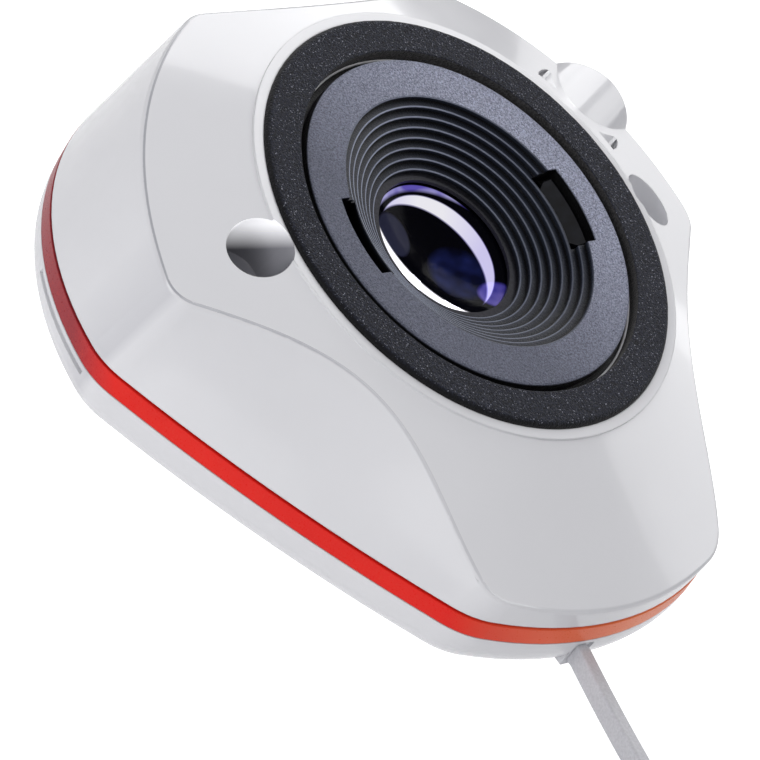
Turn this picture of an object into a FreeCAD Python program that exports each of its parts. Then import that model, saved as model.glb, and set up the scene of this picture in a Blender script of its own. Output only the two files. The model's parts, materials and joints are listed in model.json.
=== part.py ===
"""Display colorimeter puck: lens, baffle, board, three-cornered housing and cable.

Row frame: the flat back lies in z = 0, +Z points out of the front, +Y points away
from the cable, and the origin is the centre of the three-cornered back outline.
The optical stack leans towards the cable by LENS_TILT. Its parts are drawn in the
lens frame: z = 0 is the plane of the white bezel ring and +z looks out of the lens.
All sizes are in millimetres.
"""
import FreeCAD, Part
import math
import os

from FreeCAD import Placement, Rotation, Vector

# --- housing heights (row frame) ------------------------------------------------
WALL = 2.0
REAR_TOP = 5.0
SEAM = 0.12
BAND_HEIGHT = 1.9
BAND_TOP = REAR_TOP + SEAM + BAND_HEIGHT
BAND_DEPTH = 4.0
SHADOW_GAP = 0.3
FRONT_BOTTOM = BAND_TOP + SHADOW_GAP
REAR_ROUNDING = 4.4
FAR = 30.0                 # reach of cutting tools that pass right through
FACE_REACH = 70.0          # radius that the sloping face is drawn out to

# --- lens frame -----------------------------------------------------------------
LENS_TILT = 10.5
LENS_Y = 0.6
LENS_Z = BAND_TOP + 15.6
LENS_FRAME = Placement(Vector(0, LENS_Y, LENS_Z), Rotation(Vector(1, 0, 0), LENS_TILT))

# --- three-cornered outlines: sides face 90, 210 and 330 degrees ------------------
SIDE_ANGLES = (90, 210, 330)
BASE_CORNER_R = 36.6
BASE_SIDES = (33.6, 31.7, 31.7)
BASE_SIDE_R = (160.0, 160.0, 160.0)
BASE_FILLET = 8.0
TOP_CORNER_R = 35.3
TOP_SIDES = (29.4, 24.0, 24.0)
TOP_SIDE_R = (-74.0, -40.0, -40.0)
TOP_FILLET = 3.0
TOP_CENTRE_Y = -3.5

# --- front face --------------------------------------------------------------------
GASKET_R = 23.0
GASKET_INNER_R = 19.2
GASKET_SEAT = 0.9
GASKET_PROUD = 0.6
GASKET_ROUNDING = 0.55
BEZEL_R = 24.1
BEZEL_STEP = 0.25
FACE_SLOPE = 0.38
FACE_WALL = 2.2
EDGE_ROUNDING = 0.55
LIP_R = 18.98
HOLE_CLEARANCE = 0.05
GASKET_CLEARANCE = 0.03
SHADOW_INSET = 0.9
TONGUE_LAP = 1.0

# --- baffle insert (lens frame) -------------------------------------------------------
PLATE_TOP = 0.3
PLATE_THICKNESS = 2.65
PLATE_R = 18.45
PLATE_ROUNDING = 0.3
FLANGE_R = 21.6
FUNNEL_R = 14.1
STEP_COUNT = 7
STEP_RUN = 0.82
STEP_DROP = 0.567
STEP_CHAMFER = 0.07
THROAT_R = FUNNEL_R - STEP_COUNT * STEP_RUN
THROAT_Z = PLATE_TOP - STEP_COUNT * STEP_DROP
SLOT_INNER_R = 12.75
SLOT_OUTER_R = 15.3
SLOT_LEDGE_R = 14.4
SLOT_LEDGE_DEPTH = 2.0
SLOT_HALF_WIDTH = 4.15
HOOK_INNER_R = 13.1
HOOK_OUTER_R = 15.0
HOOK_HALF_WIDTH = 3.7
HOOK_SUNK = 1.05
HOOK_RAMP_DROP = 1.0
HOOK_CHAMFER = 0.9
EAR_R = 2.8
EAR_DROP = 1.6
EAR_THICKNESS = 1.8
EAR_SCREW_TIP = -2.0
EAR_POINTS = ((12.5, 20.0), (-12.5, 20.0), (12.2, -20.4), (-12.2, -20.4))
BOARD_POST_R = 17.0
BOARD_POST_ANGLES = (90, 210, 330)
BOARD_POST_THICK_R = 2.0
BOARD_SCREW_REACH = 5.0
COLLAR_BOTTOM = -8.0
COLLAR_WALL = 1.3

# --- optical stack (lens frame) ------------------------------------------------------
LENS_R = 8.6
LENS_SEAT_Z = -4.6
LENS_EDGE = 2.0
LENS_DOME_R = 13.0
LENS_CLEAR_R = 7.45
LENS_LEDGE_R = 7.5
RETAINER_INNER_R = 7.5
BARREL_BORE_R = 8.65
BARREL_R = 9.6
BARREL_BOTTOM = -12.6
BARREL_FLANGE_Z = -9.4
BARREL_FLANGE_R = 11.6
BARREL_FLANGE_THICKNESS = 1.2
BARREL_FLOOR_THICKNESS = 0.8
BARREL_THROAT_R = 5.2
REAR_LENS_R = 6.4
REAR_LENS_TOP = -8.3
REAR_BORE_TOP = -7.8
STOP_TOP = -10.45
STOP_THICKNESS = 0.3
STOP_HOLE_R = 2.0
FILTER_TOP = -10.8
FILTER_THICKNESS = 0.8

# --- board (lens frame) -----------------------------------------------------------
BOARD_TOP = -14.5
BOARD_THICKNESS = 1.2
BOARD_R = 19.6
HEADER_Y = -8.4

# --- sockets for the storage cap's pegs (lens frame) ------------------------------------
SIDE_SOCKETS = ((-26.1, 1.0), (26.8, 0.2))
SIDE_SOCKET_R = 3.0
SIDE_SOCKET_FLOOR = -6.0
SIDE_SOCKET_WALL = 1.2

# --- latch boss: a half-round ridge along a radius of the face (lens frame) -------------
LATCH_ANGLE = 25.0
LATCH_R = 5.36
LATCH_TOP = -1.15
LATCH_WALL = 1.9
POCKET_SPOT = 27.0
POCKET_R = 5.35
POCKET_RING_R = 26.45
POCKET_FLOOR = -3.2
POCKET_MARGIN = 0.75
POCKET_RIB_OFFSET = 4.65
POCKET_RIB_WIDTH = 0.35
POCKET_RIB_TOP = -2.3
POCKET_WALL = 1.0
POCKET_FLOOR_WALL = 1.2

# --- screws -----------------------------------------------------------------------------
SCREW_R = 0.9
SCREW_HEAD_R = 1.8
SCREW_HEAD_H = 1.1
SCREW_CLEARANCE = 0.04
HOUSING_SCREWS = ((19.6, 20.6), (-19.6, 20.6), (9.5, -28.0), (-9.5, -28.0))
HOUSING_SCREW_REACH = 5.6
HOUSING_HOLE_REACH = 6.2
BOSS_R = 3.0
COUNTERBORE_DEPTH = 2.0

# --- cable ---------------------------------------------------------------------------------
CABLE_X = -1.8
CABLE_Z = 3.0
CABLE_WIDTH = 1.35
CABLE_HEIGHT = 2.2
CABLE_ROUNDING = 0.42
CABLE_ARC_R = 180.0
CABLE_ARC_ANGLE = 14.0
ENTRY_IN_Y = -31.4
ENTRY_OUT_Y = -36.3
GROMMET_BLOCK = 9.0
COLLAR_WIDTH = 5.4
COLLAR_LENGTH = 1.5
COLLAR_HALF_HEIGHT = 1.9
WIRE_R = 0.28
HINGE_GAP = 0.08
PLUG_NECK = 5.0
PLUG_LENGTH = 20.0
PLUG_WIDTH = 15.6
PLUG_HEIGHT = 7.6
SHELL_LENGTH = 12.2
SHELL_SUNK = 7.0
TONGUE_HEIGHT = 1.9
SHELL_WIDTH = 12.0
SHELL_HEIGHT = 4.5
SHELL_WALL = 0.3

# --- back ---------------------------------------------------------------------------------
TRIPOD_POINT = (0.0, 12.0)
TRIPOD_R = 3.175
TRIPOD_INSERT_R = 4.6
TRIPOD_DEPTH = 6.4
TRIPOD_WALL = 1.2
TRIPOD_FLOOR = 0.8
WINDOW_POINT = (9.0, -10.0)
WINDOW_R = 3.6
WINDOW_DEPTH = 1.3
WINDOW_LEDGE = 0.8
GRIP_SLOT_ANGLES = (153.0, 173.5)
GRIP_SLOT_LOW = 4.05
GRIP_SLOT_HIGH = 4.5
GRIP_SLOT_DEPTH = 0.5


def polar(radius, angle):
    """Point in the XY plane at a radius and an angle in degrees."""
    return Vector(radius * math.cos(math.radians(angle)), radius * math.sin(math.radians(angle)), 0)


def cylinder(radius, low, high, x=0.0, y=0.0):
    """Upright cylinder between two heights."""
    return Part.makeCylinder(radius, high - low, Vector(x, y, low))


def tube(outer, inner, low, high, x=0.0, y=0.0):
    """Upright tube between two heights."""
    return cylinder(outer, low, high, x, y).cut(cylinder(inner, low - 1, high + 1, x, y))


def block(size_x, size_y, low, high, x=0.0, y=0.0):
    """Upright box centred on x, y."""
    return Part.makeBox(size_x, size_y, high - low, Vector(x - size_x / 2, y - size_y / 2, low))


def revolve(profile):
    """Solid of revolution about z from (radius, height) points."""
    points = [Vector(radius, 0, height) for radius, height in profile]
    face = Part.Face(Part.makePolygon(points + points[:1]))
    return face.revolve(Vector(0, 0, 0), Vector(0, 0, 1), 360)


def in_row(shape):
    """Move a shape from the lens frame to the row frame."""
    moved = shape.copy()
    moved.Placement = LENS_FRAME.multiply(moved.Placement)
    return moved


def corner_fillet(corner_r, side_d, side_r, fillet_r):
    """Centre and tangent points, along and across a side's normal, of one corner fillet."""
    side_centre = side_d - side_r
    from_corner = corner_r - fillet_r
    from_side = abs(side_r - fillet_r)
    along = (from_corner ** 2 - from_side ** 2 + side_centre ** 2) / (2 * side_centre)
    across = math.sqrt(from_corner ** 2 - along ** 2)
    centre = Vector(along, across, 0)
    on_corner = centre * (corner_r / from_corner)
    outward = (centre - Vector(side_centre, 0, 0)) * (abs(side_r) / from_side)
    on_side = Vector(side_centre, 0, 0) + outward
    return centre, on_corner, on_side


def three_cornered(corner_r, side_ds, side_rs, fillet_r, inset=0.0):
    """Closed outline: corner arcs about the centre, joined by sides that bow out or in."""
    corner_r = corner_r - inset
    fillet_r = max(fillet_r - inset, 0.8)
    stations = []
    for angle, side_d, side_r in zip(SIDE_ANGLES, side_ds, side_rs):
        turn = Rotation(Vector(0, 0, 1), angle)
        bow_r = side_r - inset
        mid_side = Vector(side_d - inset, 0, 0)
        centre, on_corner, on_side = corner_fillet(corner_r, side_d - inset, bow_r, fillet_r)
        for sign in (-1, 1):
            half = [Vector(p.x, sign * p.y, 0) for p in (centre, on_corner, on_side)]
            mid = half[0] + (half[1] + half[2] - half[0] * 2).normalize() * fillet_r
            stations.append([turn.multVec(p) for p in (half[1], mid, half[2], mid_side)])
    edges = []
    for index in range(0, len(stations), 2):
        entry, leave = stations[index], stations[index + 1]
        following = stations[(index + 2) % len(stations)]
        corner_mid = (leave[0] + following[0]).normalize() * corner_r
        edges.append(Part.Arc(entry[0], entry[1], entry[2]).toShape())
        edges.append(Part.Arc(entry[2], entry[3], leave[2]).toShape())
        edges.append(Part.Arc(leave[2], leave[1], leave[0]).toShape())
        edges.append(Part.Arc(leave[0], corner_mid, following[0]).toShape())
    return Part.Wire(edges)


def base_outline(inset=0.0, height=0.0):
    """Outline of the band and the rear shell."""
    wire = three_cornered(BASE_CORNER_R, BASE_SIDES, BASE_SIDE_R, BASE_FILLET, inset)
    wire.translate(Vector(0, 0, height))
    return wire


def top_outline(inset=0.0):
    """Outline of the front shell in the plane of the bezel, in the row frame."""
    wire = three_cornered(TOP_CORNER_R, TOP_SIDES, TOP_SIDE_R, TOP_FILLET, inset)
    wire.translate(Vector(0, TOP_CENTRE_Y, 0))
    return in_row(wire)


def prism(inset, low, high):
    """Straight-walled solid on the base outline."""
    return Part.Face(base_outline(inset, low)).extrude(Vector(0, 0, high - low))


def above_face():
    """Everything in front of the sloping front face (lens frame)."""
    start = -BEZEL_STEP
    end = start - FACE_SLOPE * (FACE_REACH - BEZEL_R)
    return revolve([(BEZEL_R, start), (FACE_REACH, end), (FACE_REACH, FAR), (BEZEL_R, FAR)])


def above_ceiling():
    """Everything in front of the inner side of the front face (lens frame)."""
    end = -FACE_WALL - FACE_SLOPE * (FACE_REACH - BEZEL_R)
    return revolve([(0, -FACE_WALL), (BEZEL_R, -FACE_WALL), (FACE_REACH, end), (FACE_REACH, FAR), (0, FAR)])


def screw(x, y, head_z, tip_z):
    """Pan-head screw with a cross recess, driven upwards from head_z to tip_z."""
    head = cylinder(SCREW_HEAD_R, head_z, head_z + SCREW_HEAD_H, x, y)
    head = head.makeFillet(0.3, [edge for edge in head.Edges if edge.BoundBox.ZMax < head_z + 0.01])
    shank = cylinder(SCREW_R, head_z + SCREW_HEAD_H - 0.1, tip_z, x, y)
    recess = block(2.0, 0.45, head_z - 1, head_z + 0.6, x, y)
    recess = recess.fuse(block(0.45, 2.0, head_z - 1, head_z + 0.6, x, y))
    return head.fuse(shank).cut(recess).removeSplitter()


def screw_hole(x, y, low, high):
    """Hole that a screw's shank passes or threads into."""
    return cylinder(SCREW_R + SCREW_CLEARANCE, low, high, x, y)


def latch_cylinder(radius, start=20.0, length=25.0):
    """Cylinder along the latch's radius of the face, tangent to the level of the latch's top."""
    along = polar(1.0, LATCH_ANGLE)
    centre = along * start + Vector(0, 0, LATCH_TOP - LATCH_R)
    return Part.makeCylinder(radius, length, centre, along)


def latch_pockets():
    """Recesses on both sides of the latch boss, each with a low rib along the boss."""
    spot = polar(POCKET_SPOT, LATCH_ANGLE)
    pocket = cylinder(POCKET_R, POCKET_FLOOR, 5, spot.x, spot.y)
    pocket = pocket.cut(cylinder(POCKET_RING_R, -FAR, FAR)).cut(latch_cylinder(LATCH_R + POCKET_MARGIN))
    for side in (-1, 1):
        offset = side * POCKET_RIB_OFFSET
        rib = block(20, POCKET_RIB_WIDTH, POCKET_FLOOR - 1, POCKET_RIB_TOP, POCKET_SPOT, offset)
        rib.rotate(Vector(0, 0, 0), Vector(0, 0, 1), LATCH_ANGLE)
        pocket = pocket.cut(rib)
    return pocket


def front_shell():
    """White housing half with the sloping face, the gasket seat, the latch boss, sockets and posts."""
    block_out = Part.makeLoft([base_outline(0.0, FRONT_BOTTOM), top_outline()], True, True)
    outer = block_out.cut(in_row(above_face()))
    rim = [edge for edge in outer.Edges if is_face_rim(edge)]
    outer = outer.makeFillet(EDGE_ROUNDING, rim)
    outer = outer.fuse(block_out.common(in_row(latch_cylinder(LATCH_R))))

    inside = Part.makeLoft([base_outline(WALL, FRONT_BOTTOM), top_outline(WALL)], True, True)
    cavity = inside.cut(in_row(above_ceiling()))
    core = inside.common(in_row(latch_cylinder(LATCH_R - LATCH_WALL)))
    core = core.cut(in_row(cylinder(POCKET_RING_R + 0.5, -FAR, FAR)))
    shell = outer.cut(cavity).cut(core)

    posts = [cylinder(BOSS_R, FRONT_BOTTOM, LENS_Z, x, y) for x, y in HOUSING_SCREWS]
    cups = []
    for x, y in SIDE_SOCKETS:
        cup_low = SIDE_SOCKET_FLOOR - SIDE_SOCKET_WALL
        cups.append(in_row(cylinder(SIDE_SOCKET_R + SIDE_SOCKET_WALL, cup_low, 0, x, y)))
    for x, y in EAR_POINTS:
        cups.append(in_row(cylinder(EAR_R, ear_top(), 0, x, y)))
    spot = polar(POCKET_SPOT, LATCH_ANGLE)
    pocket_cup = cylinder(POCKET_R + POCKET_WALL, POCKET_FLOOR - POCKET_FLOOR_WALL, 0, spot.x, spot.y)
    cups.append(in_row(pocket_cup.cut(cylinder(POCKET_RING_R - POCKET_WALL, -FAR, FAR))))
    for solid in posts + cups:
        shell = shell.fuse(solid.common(outer))

    holes = [in_row(cylinder(LIP_R + HOLE_CLEARANCE, -FAR, FAR)),
             in_row(cylinder(GASKET_R + GASKET_CLEARANCE, -GASKET_SEAT, FAR)),
             in_row(cylinder(FLANGE_R + 2 * HOLE_CLEARANCE, -FAR, -FACE_WALL)),
             in_row(latch_pockets())]
    for x, y in SIDE_SOCKETS:
        holes.append(in_row(cylinder(SIDE_SOCKET_R, SIDE_SOCKET_FLOOR, FAR, x, y)))
    for x, y in HOUSING_SCREWS:
        holes.append(screw_hole(x, y, FRONT_BOTTOM - 1, FRONT_BOTTOM + HOUSING_HOLE_REACH))
    for x, y in EAR_POINTS:
        holes.append(in_row(screw_hole(x, y, ear_top() - 1, EAR_SCREW_TIP + 0.4)))
    for hole in holes:
        shell = shell.cut(hole)
    return shell


def is_face_rim(edge):
    """True for the edges where the sloping face meets the side walls."""
    local = LENS_FRAME.inverse()
    for vertex in edge.Vertexes:
        point = local.multVec(vertex.Point)
        radius = math.hypot(point.x, point.y)
        face_z = -BEZEL_STEP - FACE_SLOPE * (radius - BEZEL_R)
        if radius < BEZEL_R + 0.3 or abs(point.z - face_z) > 0.02:
            return False
    return len(edge.Vertexes) == 2


def ear_top():
    """Height of the plane where the insert's ears meet the shell's posts."""
    return PLATE_TOP - PLATE_THICKNESS - EAR_DROP


def trim_band():
    """Coloured band with an inner tongue that centres both shells."""
    inner = prism(BAND_DEPTH, 0, FAR)
    band = prism(-0.05, REAR_TOP + SEAM, BAND_TOP)
    backing = prism(SHADOW_INSET, BAND_TOP - 0.1, FRONT_BOTTOM - 0.05)
    tongue = prism(WALL + SHADOW_INSET, REAR_TOP - TONGUE_LAP, FRONT_BOTTOM + TONGUE_LAP)
    band = band.fuse(backing).fuse(tongue).cut(inner)
    for x, y in HOUSING_SCREWS:
        band = band.cut(cylinder(BOSS_R + 0.15, 0, FAR, x, y))
    notch = block(GROMMET_BLOCK + 0.4, 8.0, 0, REAR_TOP + 0.05, CABLE_X, ENTRY_IN_Y - 2.0)
    return band.cut(notch).removeSplitter()


def grip_slot(side):
    """Shallow finger slot that follows one side corner of the rear shell."""
    low, high = GRIP_SLOT_ANGLES
    slot = cylinder(2 * FAR, GRIP_SLOT_LOW, GRIP_SLOT_HIGH).cut(prism(GRIP_SLOT_DEPTH, 0, FAR))
    corners = [Vector(0, 0, 0), polar(3 * FAR, low), polar(3 * FAR, high), Vector(0, 0, 0)]
    wedge = Part.Face(Part.makePolygon(corners)).extrude(Vector(0, 0, FAR))
    slot = slot.common(wedge)
    return slot if side < 0 else slot.mirror(Vector(0, 0, 0), Vector(1, 0, 0))


def rear_shell():
    """Slim back half with screw bosses, the thread boss, the window and the cable notch."""
    body = prism(0.0, 0.0, REAR_TOP)
    body = body.makeFillet(REAR_ROUNDING, [edge for edge in body.Edges if edge.BoundBox.ZMax < 0.01])
    cavity = prism(WALL, WALL, REAR_TOP + 1)
    floor_edges = [edge for edge in cavity.Edges if edge.BoundBox.ZMax < WALL + 0.01]
    cavity = cavity.makeFillet(REAR_ROUNDING - WALL, floor_edges)
    shell = body.cut(cavity)
    for x, y in HOUSING_SCREWS:
        shell = shell.fuse(cylinder(BOSS_R, 0.5, FRONT_BOTTOM - 0.05, x, y))
    shell = shell.fuse(cylinder(TRIPOD_INSERT_R + TRIPOD_WALL, 0.5, TRIPOD_DEPTH + 0.7, *TRIPOD_POINT))
    shell = shell.fuse(block(GROMMET_BLOCK, 3.5, 1.9, REAR_TOP, CABLE_X, ENTRY_IN_Y - 1.9))
    for x, y in HOUSING_SCREWS:
        shell = shell.cut(screw_hole(x, y, -1, FAR))
        shell = shell.cut(cylinder(SCREW_HEAD_R + 0.15, -1, COUNTERBORE_DEPTH, x, y))
    shell = shell.cut(cylinder(TRIPOD_INSERT_R + 0.02, -1, TRIPOD_DEPTH, *TRIPOD_POINT))
    shell = shell.cut(cylinder(WINDOW_R + 0.03, -1, WINDOW_DEPTH, *WINDOW_POINT))
    shell = shell.cut(cylinder(WINDOW_R - WINDOW_LEDGE, -1, FAR, *WINDOW_POINT))
    shell = shell.cut(grip_slot(-1)).cut(grip_slot(1))
    return shell.cut(grommet_form(0.02))


def grommet_form(grow):
    """Outer form of the cable grommet: an inner collar and a neck through the wall."""
    half = COLLAR_HALF_HEIGHT + grow
    collar_width = COLLAR_WIDTH + 2 * grow
    collar_length = COLLAR_LENGTH + 2 * grow
    collar_y = ENTRY_IN_Y - 1.6
    collar = block(collar_width, collar_length, CABLE_Z - half, CABLE_Z + half, CABLE_X, collar_y)
    neck_end = ENTRY_OUT_Y - (10.0 if grow else 0.0)
    length = ENTRY_IN_Y - neck_end
    neck_z = CABLE_HEIGHT / 2 + 0.45 + grow
    neck = block(CABLE_WIDTH + 0.9 + 2 * grow, length, CABLE_Z - neck_z, CABLE_Z + neck_z, CABLE_X,
                 neck_end + length / 2)
    return collar.fuse(neck)


def cable_section(y, grow=0.0):
    """Rounded section of the flat cable in the plane of constant y, centred on x = 0."""
    width = CABLE_WIDTH + 2 * grow
    height = CABLE_HEIGHT + 2 * grow
    strip = Part.makeBox(width, 1.0, height, Vector(-width / 2, y, CABLE_Z - height / 2))
    long_edges = [edge for edge in strip.Edges if edge.BoundBox.YLength > 0.99]
    strip = strip.makeFillet(CABLE_ROUNDING, long_edges)
    return [face for face in strip.Faces if face.BoundBox.YMax < y + 0.01][0]


def straight_cable(start_y, end_y, grow=0.0):
    """Straight length of cable through the grommet."""
    face = cable_section(end_y, grow)
    face.translate(Vector(CABLE_X, 0, 0))
    return face.extrude(Vector(0, start_y - end_y, 0))


def hinge_point():
    """Plan position of the bend where the cable leaves the housing."""
    return Vector(CABLE_X, ENTRY_OUT_Y - CABLE_WIDTH / 2 - HINGE_GAP, 0)


def plug_point():
    """Plan position of the bend where the cable enters the plug."""
    turn = math.radians(CABLE_ARC_ANGLE)
    return hinge_point() - Vector(CABLE_ARC_R * (1 - math.cos(turn)), CABLE_ARC_R * math.sin(turn), 0)


def cable_grommet():
    """Moulded strain relief that holds the cable in the wall of the rear shell."""
    return grommet_form(0.0).cut(straight_cable(-20, -60, 0.02)).removeSplitter()


def cable_entry():
    """Length of cable gripped in the grommet."""
    return straight_cable(ENTRY_IN_Y, ENTRY_OUT_Y)


def usb_cable():
    """Free run of flat cable, gently curved, with round ends at both bends."""
    start, end = hinge_point(), plug_point()
    face = cable_section(end.y)
    face.translate(Vector(end.x, 0, 0))
    run = face.revolve(Vector(end.x + CABLE_ARC_R, end.y, 0), Vector(0, 0, 1), -CABLE_ARC_ANGLE)
    low, high = CABLE_Z - CABLE_HEIGHT / 2, CABLE_Z + CABLE_HEIGHT / 2
    for spot in (start, end):
        run = run.fuse(cylinder(CABLE_WIDTH / 2, low, high, spot.x, spot.y))
    return run.removeSplitter()


def baffle_plate():
    """Black insert: textured plate, stepped funnel, latch slots, ears and board posts."""
    low = PLATE_TOP - PLATE_THICKNESS
    rim = PLATE_ROUNDING
    groove_z = -GASKET_SEAT - 0.1
    profile = [(LIP_R, groove_z), (PLATE_R, groove_z), (PLATE_R, PLATE_TOP - rim),
               (PLATE_R - 0.3 * rim, PLATE_TOP - 0.3 * rim), (PLATE_R - rim, PLATE_TOP)]
    for index in range(STEP_COUNT + 1):
        radius = FUNNEL_R - index * STEP_RUN
        height = PLATE_TOP - index * STEP_DROP
        profile.append((radius + STEP_CHAMFER, height))
        profile.append((radius, height - STEP_CHAMFER))
        if index < STEP_COUNT:
            profile.append((radius, height - STEP_DROP))
    throat_low = THROAT_Z - 0.5
    seat_r = BARREL_R + 0.1
    collar_r = seat_r + COLLAR_WALL
    flange_low = low - 0.3
    flange_top = -FACE_WALL - 0.02
    profile += [(THROAT_R, throat_low), (seat_r, throat_low), (seat_r, COLLAR_BOTTOM),
                (collar_r, COLLAR_BOTTOM), (collar_r, throat_low - 0.4), (FUNNEL_R + 1.0, flange_low),
                (FLANGE_R, flange_low), (FLANGE_R, flange_top), (LIP_R, flange_top)]
    plate = revolve(profile)
    ear_low = ear_top() - EAR_THICKNESS
    for x, y in EAR_POINTS:
        ear = cylinder(EAR_R, ear_low, ear_top(), x, y)
        reach = Vector(x, y, 0).normalize() * (FLANGE_R - 1.5)
        web = block(2 * EAR_R - 0.6, 5.0, ear_low, low - 0.1)
        web.rotate(Vector(0, 0, 0), Vector(0, 0, 1), math.degrees(math.atan2(y, x)) - 90)
        web.translate(Vector(reach.x, reach.y, 0))
        web = web.common(cylinder(FLANGE_R, -FAR, FAR))
        plate = plate.fuse(ear).fuse(web)
        plate = plate.cut(screw_hole(x, y, -FAR, 0))
    for angle in BOARD_POST_ANGLES:
        spot = polar(BOARD_POST_R, angle)
        plate = plate.fuse(cylinder(BOARD_POST_THICK_R, BOARD_TOP + 0.02, low - 0.2, spot.x, spot.y))
        hole_top = BOARD_TOP + BOARD_SCREW_REACH + 0.5
        plate = plate.cut(screw_hole(spot.x, spot.y, BOARD_TOP - 1, hole_top))
    for side in (-1, 1):
        plate = plate.cut(latch_slot(side))
    return plate.removeSplitter()


def sector_ring(inner, outer, half_width, low, high, side):
    """Piece of a ring on the +x or -x side, cut off square at y = +/- half_width."""
    ring = tube(outer, inner, low, high)
    return ring.common(block(40, 2 * half_width, low - 1, high + 1, side * 20))


def latch_slot(side):
    """Arc window in the plate with a ledge that the barrel's latch hooks over."""
    window = sector_ring(SLOT_INNER_R, SLOT_LEDGE_R, SLOT_HALF_WIDTH, -12, 5, side)
    shelf_z = PLATE_TOP - SLOT_LEDGE_DEPTH
    shelf = sector_ring(SLOT_INNER_R, SLOT_OUTER_R, SLOT_HALF_WIDTH, shelf_z, 5, side)
    return window.fuse(shelf)


def lens_barrel():
    """Tube that carries the optics, with a flange and two latch arms."""
    shelf_z = PLATE_TOP - SLOT_LEDGE_DEPTH
    floor_top = BARREL_BOTTOM + BARREL_FLOOR_THICKNESS
    ledge_z = LENS_SEAT_Z - LENS_EDGE - 0.04
    bore_r = REAR_LENS_R + 0.03
    body = revolve([(BARREL_BORE_R, LENS_SEAT_Z), (BARREL_R, LENS_SEAT_Z), (BARREL_R, BARREL_BOTTOM),
                    (BARREL_THROAT_R, BARREL_BOTTOM), (BARREL_THROAT_R, floor_top), (bore_r, floor_top),
                    (bore_r, REAR_BORE_TOP), (LENS_LEDGE_R, REAR_BORE_TOP), (LENS_LEDGE_R, ledge_z),
                    (BARREL_BORE_R, ledge_z)])
    arm_low = BARREL_FLANGE_Z - BARREL_FLANGE_THICKNESS
    body = body.fuse(tube(BARREL_FLANGE_R, BARREL_R - 0.2, arm_low, BARREL_FLANGE_Z))
    hook_top = PLATE_TOP - HOOK_SUNK
    arm_r = SLOT_LEDGE_R - 0.3
    ramp = revolve([(HOOK_INNER_R - 1, hook_top - HOOK_RAMP_DROP * 1.5), (HOOK_OUTER_R + 0.2, hook_top + 0.1),
                    (HOOK_OUTER_R + 0.2, 5), (HOOK_INNER_R - 1, 5)])
    for side in (-1, 1):
        arm = sector_ring(HOOK_INNER_R, arm_r, HOOK_HALF_WIDTH, arm_low, hook_top, side)
        hook = sector_ring(HOOK_INNER_R, HOOK_OUTER_R, HOOK_HALF_WIDTH, shelf_z + 0.03, hook_top, side)
        bridge = sector_ring(11.0, arm_r, HOOK_HALF_WIDTH, arm_low, BARREL_FLANGE_Z, side)
        arm = arm.fuse(hook)
        for end in (-1, 1):
            bevel = block(2 * HOOK_CHAMFER, 2 * HOOK_CHAMFER, -FAR, 5)
            bevel.rotate(Vector(0, 0, 0), Vector(0, 0, 1), 45)
            bevel.translate(Vector(side * (HOOK_INNER_R - 0.6), end * HOOK_HALF_WIDTH, 0))
            arm = arm.cut(bevel.common(block(2 * FAR, 2 * FAR, BARREL_FLANGE_Z + 0.5, 5)))
        body = body.fuse(arm.cut(ramp)).fuse(bridge)
    return body.removeSplitter()


def lens_solid(radius, edge_top, edge, dome_r, dome_aperture, back_r):
    """Glass lens with a cylindrical edge, a front dome and a shallow rear dome."""
    blank = cylinder(radius, edge_top - edge, edge_top)
    sag = dome_r - math.sqrt(dome_r ** 2 - dome_aperture ** 2)
    ball = Part.makeSphere(dome_r, Vector(0, 0, edge_top + sag - dome_r))
    dome = ball.common(cylinder(dome_aperture, edge_top - 0.01, edge_top + 10))
    back_sag = back_r - math.sqrt(back_r ** 2 - dome_aperture ** 2)
    back_ball = Part.makeSphere(back_r, Vector(0, 0, edge_top - edge - back_sag + back_r))
    back = back_ball.common(cylinder(dome_aperture, edge_top - edge - 10, edge_top - edge + 0.01))
    return blank.fuse(dome).fuse(back).removeSplitter()


def front_lens():
    """Large coated front lens."""
    return lens_solid(LENS_R, LENS_SEAT_Z - 0.02, LENS_EDGE, LENS_DOME_R, LENS_CLEAR_R, 60.0)


def lens_retainer():
    """Thin black ring that traps the front lens under the throat."""
    return tube(BARREL_R - 0.05, RETAINER_INNER_R, LENS_SEAT_Z + 0.01, THROAT_Z - 0.52)


def rear_lens():
    """Small second lens in the lower bore of the barrel."""
    return lens_solid(REAR_LENS_R, REAR_LENS_TOP, 1.4, 20.0, 5.0, 40.0)


def aperture_stop():
    """Blackened stop with a small centre hole."""
    return tube(REAR_LENS_R, STOP_HOLE_R, STOP_TOP - STOP_THICKNESS, STOP_TOP)


def colour_filter():
    """Thin infrared-blocking glass under the stop."""
    return cylinder(REAR_LENS_R, FILTER_TOP - FILTER_THICKNESS, FILTER_TOP)


def sensor_shroud():
    """Light-tight frame between the barrel and the board."""
    frame = block(14.0, 14.0, BOARD_TOP + 0.02, BARREL_BOTTOM - 0.6)
    frame = frame.makeFillet(1.2, [edge for edge in frame.Edges if edge.BoundBox.ZLength > 1.0])
    frame = frame.cut(block(7.0, 7.0, BOARD_TOP - 1, BOARD_TOP + 1.4))
    return frame.cut(cylinder(3.0, -FAR, 0))


def shroud_seal():
    """Soft ring that closes the gap between barrel and shroud."""
    return tube(6.8, BARREL_THROAT_R, BARREL_BOTTOM - 0.58, BARREL_BOTTOM - 0.02)


def sensor_chip():
    """Multi-channel colour sensor with a recessed window."""
    chip = block(5.0, 5.0, BOARD_TOP, BOARD_TOP + 1.1)
    return chip.cut(block(2.6, 2.6, BOARD_TOP + 0.95, BOARD_TOP + 2))


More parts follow.
